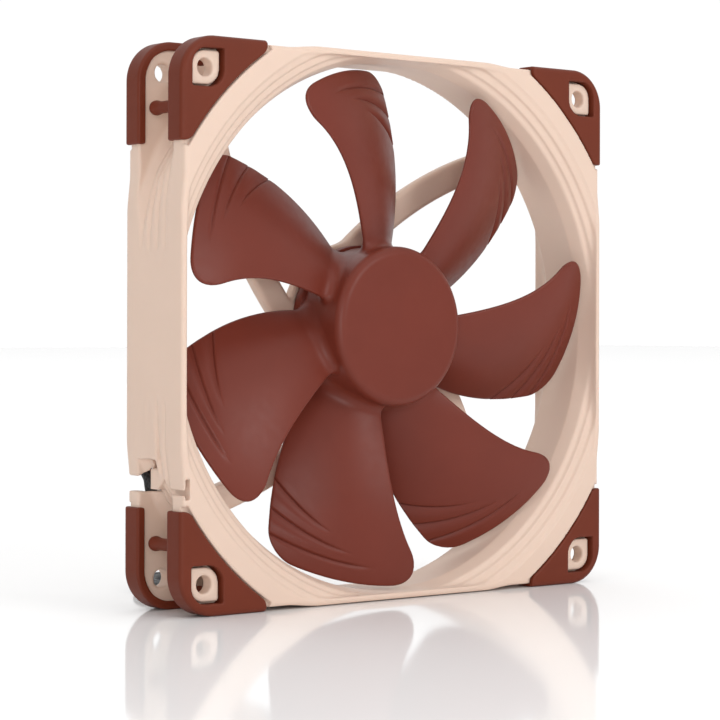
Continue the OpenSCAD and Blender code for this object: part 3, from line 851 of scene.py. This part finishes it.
def surface(f, lo, hi, h, rounds=3):
    """Surface nets on a regular grid, then every point is moved onto the zero level."""
    lo = np.array(lo, np.float32)
    n = [int(math.ceil((hi[i] - lo[i]) / h)) for i in range(3)]
    ax = [lo[i] + h * np.arange(n[i] + 1, dtype=np.float32) for i in range(3)]
    D = np.empty([k + 1 for k in n], np.float32)
    yy, zz = np.meshgrid(ax[1], ax[2], indexing="ij")
    for i0 in range(0, n[0] + 1, 24):
        xs = ax[0][i0:i0 + 24]
        X = np.repeat(xs, yy.size)
        D[i0:i0 + 24] = f(X, np.tile(yy.ravel(), len(xs)), np.tile(zz.ravel(), len(xs))).reshape(len(xs), *yy.shape)
    S = D < 0
    c = sum(S[i:n[0] + i, j:n[1] + j, k:n[2] + k].astype(np.int8) for i in (0, 1) for j in (0, 1) for k in (0, 1))
    act = np.argwhere((c > 0) & (c < 8))
    idx = np.full(n, -1, np.int32)
    idx[tuple(act.T)] = np.arange(len(act))
    corners = [(i, j, k) for i in (0, 1) for j in (0, 1) for k in (0, 1)]
    val = np.stack([D[act[:, 0] + i, act[:, 1] + j, act[:, 2] + k] for i, j, k in corners], 1)
    pos = np.zeros((len(act), 3), np.float32); cnt = np.zeros(len(act), np.float32)
    for p in range(8):
        for q in range(p + 1, 8):
            a, b = np.array(corners[p]), np.array(corners[q])
            if np.abs(a - b).sum() != 1:
                continue
            m = (val[:, p] < 0) != (val[:, q] < 0)
            t = val[m, p] / (val[m, p] - val[m, q])
            pos[m] += a + t[:, None] * (b - a)
            cnt[m] += 1
    P = lo + h * (act + pos / cnt[:, None])
    faces = []
    for a in range(3):
        b, c_ = (a + 1) % 3, (a + 2) % 3
        sl = [slice(None)] * 3; sh = [slice(None)] * 3
        sl[a] = slice(0, n[a]); sh[a] = slice(1, n[a] + 1)
        for k in (b, c_):
            sl[k] = slice(1, n[k]); sh[k] = slice(1, n[k])
        s0, s1 = S[tuple(sl)], S[tuple(sh)]
        e = np.argwhere(s0 != s1)
        flip = s1[tuple(e.T)]
        base = e.copy(); base[:, b] += 1; base[:, c_] += 1
        q = []
        for db, dc in ((-1, -1), (0, -1), (0, 0), (-1, 0)):
            cell = base.copy(); cell[:, b] += db; cell[:, c_] += dc
            q.append(idx[tuple(cell.T)])
        q = np.stack(q, 1)
        q[flip] = q[flip][:, ::-1]
        faces.append(q)
    F = np.vstack(faces)
    N = None
    for it in range(rounds):
        e = 0.06
        g = np.stack([(f(P[:, 0] + (k == 0) * e, P[:, 1] + (k == 1) * e, P[:, 2] + (k == 2) * e)
                       - f(P[:, 0] - (k == 0) * e, P[:, 1] - (k == 1) * e, P[:, 2] - (k == 2) * e)) / (2 * e) for k in range(3)], 1)
        if it == rounds - 1:
            N = g / np.maximum(np.linalg.norm(g, axis=1), 1e-6)[:, None]
            break
        d = f(P[:, 0], P[:, 1], P[:, 2])
        step = d[:, None] * g / np.maximum((g * g).sum(1), 0.25)[:, None]
        L = np.linalg.norm(step, axis=1)[:, None]
        P = P - step * np.minimum(1, 0.45 * h / np.maximum(L, 1e-6))
    return P, F, N


def quad_mesh(name, P, F, mat, body):
    """P in millimetres in the shared frame."""
    me = bpy.data.meshes.new(name)
    me.vertices.add(len(P)); me.vertices.foreach_set("co", (P * MM).astype(np.float32).ravel())
    me.loops.add(F.size); me.loops.foreach_set("vertex_index", F.astype(np.int32).ravel())
    me.polygons.add(len(F))
    me.polygons.foreach_set("loop_start", np.arange(0, F.size, 4, dtype=np.int32))
    me.polygons.foreach_set("use_smooth", np.ones(len(F), bool))
    me.update(calc_edges=True)
    me.validate()
    me.materials.append(mat)
    ob = bpy.data.objects.new(name, me)
    scene.collection.objects.link(ob)
    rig.ride(ob, body)
    return ob


def to_world(P):
    return np.stack([P[:, 0], -P[:, 2], P[:, 1]], 1)


OUT = Profile([(40, 14), (130, 14), (130, 7.2), (74.6, 7.2), (72.9, 5.9), (72.1, 5.0), (73.4, 3.9), (72.9, 2.6), (72.0, 1.7), (73.4, 0.5), (72.9, -0.9), (72.0, -1.8),
               (73.4, -3.0), (72.9, -4.3), (72.2, -5.0), (74.9, -7.2), (130, -7.2), (130, -14), (40, -14)], 55, 101, -14, 14, 0.1, 0.2)
BORE = Profile([(0, 20), (75.6, 20), (75.6, 12.9), (75.3, 12.5), (74.9, 11.85), (73.2, 11.55), (72.9, 10.75), (71.1, 10.4), (70.8, 9.6), (69.5, 9.1), (69.2, 8.4),
                (68, 5.5), (68, -6.3), (74.2, -12.5), (75.7, -14), (75.7, -20), (0, -20)], 15, 101, -14, 14, 0.1, 0.08)
CUT = [(-68.8, -40.6), (-60, -40.6), (-60, -32.5), (-65.2, -32.5), (-66.5, -35.5), (-68.8, -36.8)]


def outline(x, y):
    ax, ay = np.abs(x), np.abs(y)
    t = np.clip((38 - np.minimum(ax, ay)) / 10.5, 0, 1)
    return rsq(x, y, 69.1, 8.6) - 0.8 * t * t * (3 - 2 * t)


def frame_field(x, y, z):
    R = np.hypot(x, y)
    ax, ay, az = np.abs(x), np.abs(y), np.abs(z)
    mx, mn = np.maximum(ax, ay), np.minimum(ax, ay)
    ease = 0.5 * np.clip((-z - 7.8) / 4.7, 0, 1) ** 2 + 0.3 * np.clip((z - 9.0) / 3.5, 0, 1) ** 2
    env = extr(outline(x, y) + ease, az - 12.5, 1.0)
    # the wall outside the duct leans out towards the corners
    turn = np.degrees(np.arctan2(mn, np.maximum(mx, 1e-3)))
    lean = np.clip((turn - 15.5) * (0.15 + 0.022 * np.clip(z + 7, 0, 14)), 0, 3.0 + 3.0 * np.clip((z + 2) / 9, 0, 1))
    body = smax(OUT(R - lean, z), az - 12.5, 0.2)
    blk = (x < -50) & (y < -8) & (y > -56)
    lx, ly, lz, lR = x[blk], y[blk], z[blk], R[blk]
    if len(lx):
        hook = np.maximum(poly_sd(lz, ly, [(-3.9, -34), (2.0, -34), (2.0, -37.0), (-0.9, -39.8), (-3.9, -39.8)]), np.maximum(-67.8 - lx, lx + 60))
        add = np.minimum(box3(lx, ly, lz, -69.9, -60, -32.5, -15, -7.4, 1.2), hook)
        body[blk] = smin(body[blk], np.maximum(add, 71.5 - lR), 0.3)
    body = smax(body, env, 0.55)
    rec = np.maximum(np.maximum(80.3 - R, 44.15 - 1.15 * np.clip(1 - (R - 80.3) / 3, 0, 1) - mn), 11.0 - az)
    body = smax(body, -rec, 0.25)
    hole = smax(BORE(R, z), mx - 68.2, 1.6)
    body = smax(body, -hole, 0.3)
    seat = (ax > 55) & (ay > 55) & (az > 8)
    if seat.any():
        px, py = ax[seat] - 62.25, ay[seat] - 62.25
        isle = extr(np.abs(px) - 4.12, np.abs(py) - 4.12, np.where(px * py > 0, 3.97, 0.4))
        ring = np.maximum(np.maximum(-isle, np.maximum(np.abs(px), np.abs(py)) - 5.5), 8.8 - az[seat])
        body[seat] = smax(body[seat], -ring, 0.2)
    body = smax(body, -(np.hypot(ax - 62.25, ay - 62.25) - 2.2), 0.5)
    body = smax(body, -np.maximum(np.hypot(mx - 66.2, mn - 53.2) - 1.55, np.minimum(-z, z + 8.8)), 0.3)
    if len(lx):
        d = body[blk]
        for b in ((-72, -68.0, -40.6, -39.3, 6.2, 14), (-68.4, -67.3, -41.7, -36.7, 6.2, 14), (-72, -68, -40.5, -38.9, -14, -7.1), (-72, -65.2, -34.7, -32.3, -3.8, -1.2)):
            d = smax(d, -box3(lx, ly, lz, *b), 0.15)
        cut = np.maximum(np.maximum(poly_sd(lx, ly, CUT), lz + 4.2), 72.2 - lR)
        d = smax(d, -cut, 0.3)
        body[blk] = d
    # struts
    for k in range(4):
        c, s = ((1, 0), (0, 1), (-1, 0), (0, -1))[k]
        xr, yr = c * x + s * y, -s * x + c * y
        near = (xr > -14) & (yr > -2) & (z < -3)
        if not near.any():
            continue
        xr, yr, zz, RR = xr[near], yr[near], z[near], R[near]
        rho = np.hypot(xr - 77.1, yr + 68.8)
        st = extr(np.abs(rho - 117.5) - 3.65, np.abs(zz + 10.7) - 1.8, 1.1)
        st = smax(st, np.maximum(np.maximum(-9 - xr, 3 - yr), RR - 74.5), 0.4)
        body[near] = smin(body[near], st, 1.5)
    # cup for the motor
    near = R < 30
    if near.any():
        r, zz = R[near], z[near]
        cup = extr(r - 22, np.abs(zz + 10.85) - 1.65, 0.7)
        d = smin(body[near], cup, 1.2)
        d = smax(d, -np.maximum(r - 20.3, -11.7 - zz), 0.25)
        d = smax(d, -np.maximum(r - 18.8, zz + 12.3), 0.2)
        d = smin(d, np.maximum(np.abs(r - 19.4) - 1.0, np.abs(zz + 11.1) - 0.7), 0.2)
        body[near] = d
    # channel for the lead
    near = (x < 10) & (y < -8) & (z < -6)
    if near.any():
        xs, ys, zz, RR = x[near], y[near], z[near], R[near]
        rho = np.hypot(-xs - 77.1, -ys + 68.8)
        ch = np.maximum(np.maximum(np.abs(rho - 117.7) - 1.65, zz + 9.3), np.maximum(np.maximum(xs - 7, -54 - xs), np.maximum(18 - RR, RR - 76)))
        rr = np.hypot(xs + 58.1, ys + 40.4)
        gr = np.maximum(np.maximum(np.abs(rr - 5.95) - 2.25, zz + 8.15), np.maximum(np.maximum(-67.1 - xs, xs + 56.7), np.maximum(-49.4 - ys, ys + 40.0)))
        bx = box3(xs, ys, zz, -57.2, -51.6, -48.7, -44.3, -16, -8.8)
        ch = np.minimum(np.minimum(ch, gr), bx)
        body[near] = smax(body[near], -ch, 0.4)
    # nothing leaves the outer box
    return np.maximum(body, np.maximum(az - 12.5, mx - 69.95))


def build_frame():
    h = 0.8 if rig.quick() else 0.5
    P, F, N = surface(frame_field, (-70.7, -70.7, -13.2), (70.8, 70.8, 13.3), h)
    tV, tF = lathe([(4.0, 11.75), (4.7, 11.75), (4.7, -1.0), (4.55, -1.2), (4.15, -1.2), (4.0, -1.05)], 64)
    off = len(P)
    P = np.vstack([to_world(P), np.array(tV)])
    F = np.vstack([F, np.array(tF)[:, ::-1] + off])
    ob = quad_mesh("frame_moulding", P, F, TAN, "housing")
    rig.replaces(ob, "frame")
    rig.slot(ob, "frame")
    return ob


def pad_field(front):
    def f(x, y, z):
        R = np.hypot(x, y)
        d = extr(rsq(x, y, 70.0, 10.0), z - 12.5, 1.3)
        d = smax(d, 6.1 - z, 0.7)
        reg = smax(smax(44.4 - x, 44.4 - y, 1.6), 80.65 - R, 1.4)
        d = smax(d, reg, 0.55)
        void = np.minimum(np.maximum(np.maximum(rsq(x, y, 69.12, 8.6), z - 11.0), 7.18 - z), np.maximum(rsq(x, y, 67.9, 7.9), z - 7.3))
        d = smax(d, -void, 0.2)
        px, py = x - 62.25, y - 62.25
        # collar that lines the groove round the screw seat
        col = np.maximum(np.maximum(np.maximum(np.abs(px), np.abs(py)) - 5.3, rsq(x, y, 69.6, 9.6)), np.maximum(9.0 - z, z - 11.3))
        d = np.minimum(d, col)
        r = np.where(px * py > 0, 4.5, 0.5)
        d = smax(d, -extr(np.abs(px) - 4.7, np.abs(py) - 4.7, r), 0.2)
        hyp = np.minimum(np.hypot(x - 66.2, y - 53.2), np.hypot(x - 53.2, y - 66.2))
        if front:
            rz = np.interp(z, [-5.1, -4.6, -3.7, -2.4, -1.5, 20], [1.35, 1.75, 1.88, 1.6, 1.5, 1.5]).astype(np.float32)
            pl = smax(hyp - rz, np.maximum(-5.1 - z, z - 11.3), 0.5)
        else:
            pl = smax(hyp - 1.5, np.maximum(8.95 - z, z - 11.3), 0.3)
        return np.minimum(smin(d, pl, 0.25), 1e3)
    return f


def build_pads():
    for kind in ("front", "rear"):
        front = kind == "front"
        P, F, N = surface(pad_field(front), (43.2, 43.2, -7.6 if front else 5.0), (70.8, 70.8, 13.4), 0.42 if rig.quick() else 0.3)
        for sx, sxn in ((-1, "left"), (1, "right")):
            for sy, syn in ((1, "top"), (-1, "bottom")):
                name = "pad_%s_%s_%s" % (kind, syn, sxn)
                Q = P * np.array([sx, sy, 1 if front else -1])
                G = F[:, ::-1] if sx * sy * (1 if front else -1) < 0 else F
                ob = quad_mesh(name + "_soft", to_world(Q), G, PAD, "housing")
                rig.replaces(ob, name)
                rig.slot(ob, "pad_silicone")


build_frame()
build_pads()

# ------------------------------------------------------------------ carried-over parts
paint("connector_housing", BLACK, 0.25, 2)
paint("connector_contacts", TINNED, 0.08, 1)
paint("bearing_shell", BRASS); paint("bearing_sleeve", BRONZE); paint("thrust_disc", WHITE)
paint("bearing_magnet", FERRITE); paint("oil_seal", SEAL); paint("stator_core", LAMS, 0.1, 1)
paint("insulator_front", IVORY, 0.15, 2); paint("insulator_rear", IVORY, 0.15, 2)
paint("motor_coils", WINDING, 0.9, 3, 50)
paint("circuit_board", MASK, 0.08, 1); paint("driver_chip", CHIP, 0.08, 1); paint("hall_sensor", CHIP, 0.08, 1)
paint("board_components", CERAM, 0.12, 2); paint("motor_wires", BLACK); paint("rear_label", LABEL)
paint("rotor_yoke", STEEL); paint("rotor_magnet", FERRITE, 0.2, 2); paint("shaft_bush", BRASS)
paint("shaft", STEEL); paint("retaining_clip", WHITE)


# ------------------------------------------------------------------ floor and light
def floor():
    s = 6.0
    me = bpy.data.meshes.new("floor")
    me.from_pydata([(-s, -s, -0.07), (s, -s, -0.07), (s, s, -0.07), (-s, s, -0.07)], [], [(0, 1, 2, 3)])
    ob = bpy.data.objects.new("floor", me)
    scene.collection.objects.link(ob)
    m, nt, b = nodes_of("floor_paint")
    b.inputs["Base Color"].default_value = (0.97, 0.97, 0.97, 1)
    b.inputs["Roughness"].default_value = 0.08
    b.inputs["Specular IOR Level"].default_value = 0.12
    me.materials.append(m)
    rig.stage(ob)


def area(name, loc, target, size, power, color=(1, 1, 1)):
    l = bpy.data.lights.new(name, "AREA")
    l.shape = "RECTANGLE"
    l.size, l.size_y = size
    l.energy = power
    l.color = color
    ob = bpy.data.objects.new(name, l)
    scene.collection.objects.link(ob)
    ob.location = loc
    ob.rotation_euler = (Vector(target) - Vector(loc)).to_track_quat("-Z", "Y").to_euler()
    return ob


floor()
w = bpy.data.worlds.new("studio")
scene.world = w
w.use_nodes = True
wt = w.node_tree
bg = next(n for n in wt.nodes if n.type == "BACKGROUND")
tc = wt.nodes.new("ShaderNodeTexCoord")
dp = wt.nodes.new("ShaderNodeVectorMath"); dp.operation = "DOT_PRODUCT"
dp.inputs[1].default_value = (0.6387, 0.7694, 0.0)
wt.links.new(tc.outputs["Generated"], dp.inputs[0])
mr = wt.nodes.new("ShaderNodeMapRange")
mr.inputs["From Min"].default_value = -1.0; mr.inputs["From Max"].default_value = 1.0
wt.links.new(dp.outputs["Value"], mr.inputs["Value"])
wr = ramp(wt, mr.outputs["Result"], [(0.0, (0.31,) * 3), (0.5, (0.32,) * 3), (0.78, (1.0,) * 3), (1.0, (1.0,) * 3)])
sp = wt.nodes.new("ShaderNodeSeparateXYZ")
wt.links.new(tc.outputs["Generated"], sp.inputs[0])
zr = ramp(wt, sp.outputs["Z"], [(0.45, (0.0,) * 3), (0.95, (1.48,) * 3)])
mxw = wt.nodes.new("ShaderNodeMix")
mxw.data_type = "RGBA"; mxw.blend_type = "LIGHTEN"; mxw.inputs[0].default_value = 1.0
wt.links.new(wr.outputs["Color"], mxw.inputs[6]); wt.links.new(zr.outputs["Color"], mxw.inputs[7])
wt.links.new(mxw.outputs[2], bg.inputs["Color"])
bg.inputs["Strength"].default_value = 1.02
area("key_left", (-1.05, -0.30, 0.55), (0, 0, 0), (0.5, 0.5), 1.1)
area("front_soft", (0.35, -1.3, 0.55), (0, 0, 0), (0.7, 0.7), 6.6)
area("camera_fill", (-0.85, -1.02, 0.12), (0, 0, 0), (0.5, 0.5), 5.0)
scene.view_settings.view_transform = "Standard"
scene.view_settings.look = "None"

# ------------------------------------------------------------------ sizes
bpy.context.view_layer.update()


def plain(b):
    return [[float(x) for x in p] for p in b]


try:
    json.dump({"cad": plain(cad_box), "visual": plain(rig.bounds())}, open("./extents.json", "w"))
except OSError:
    pass
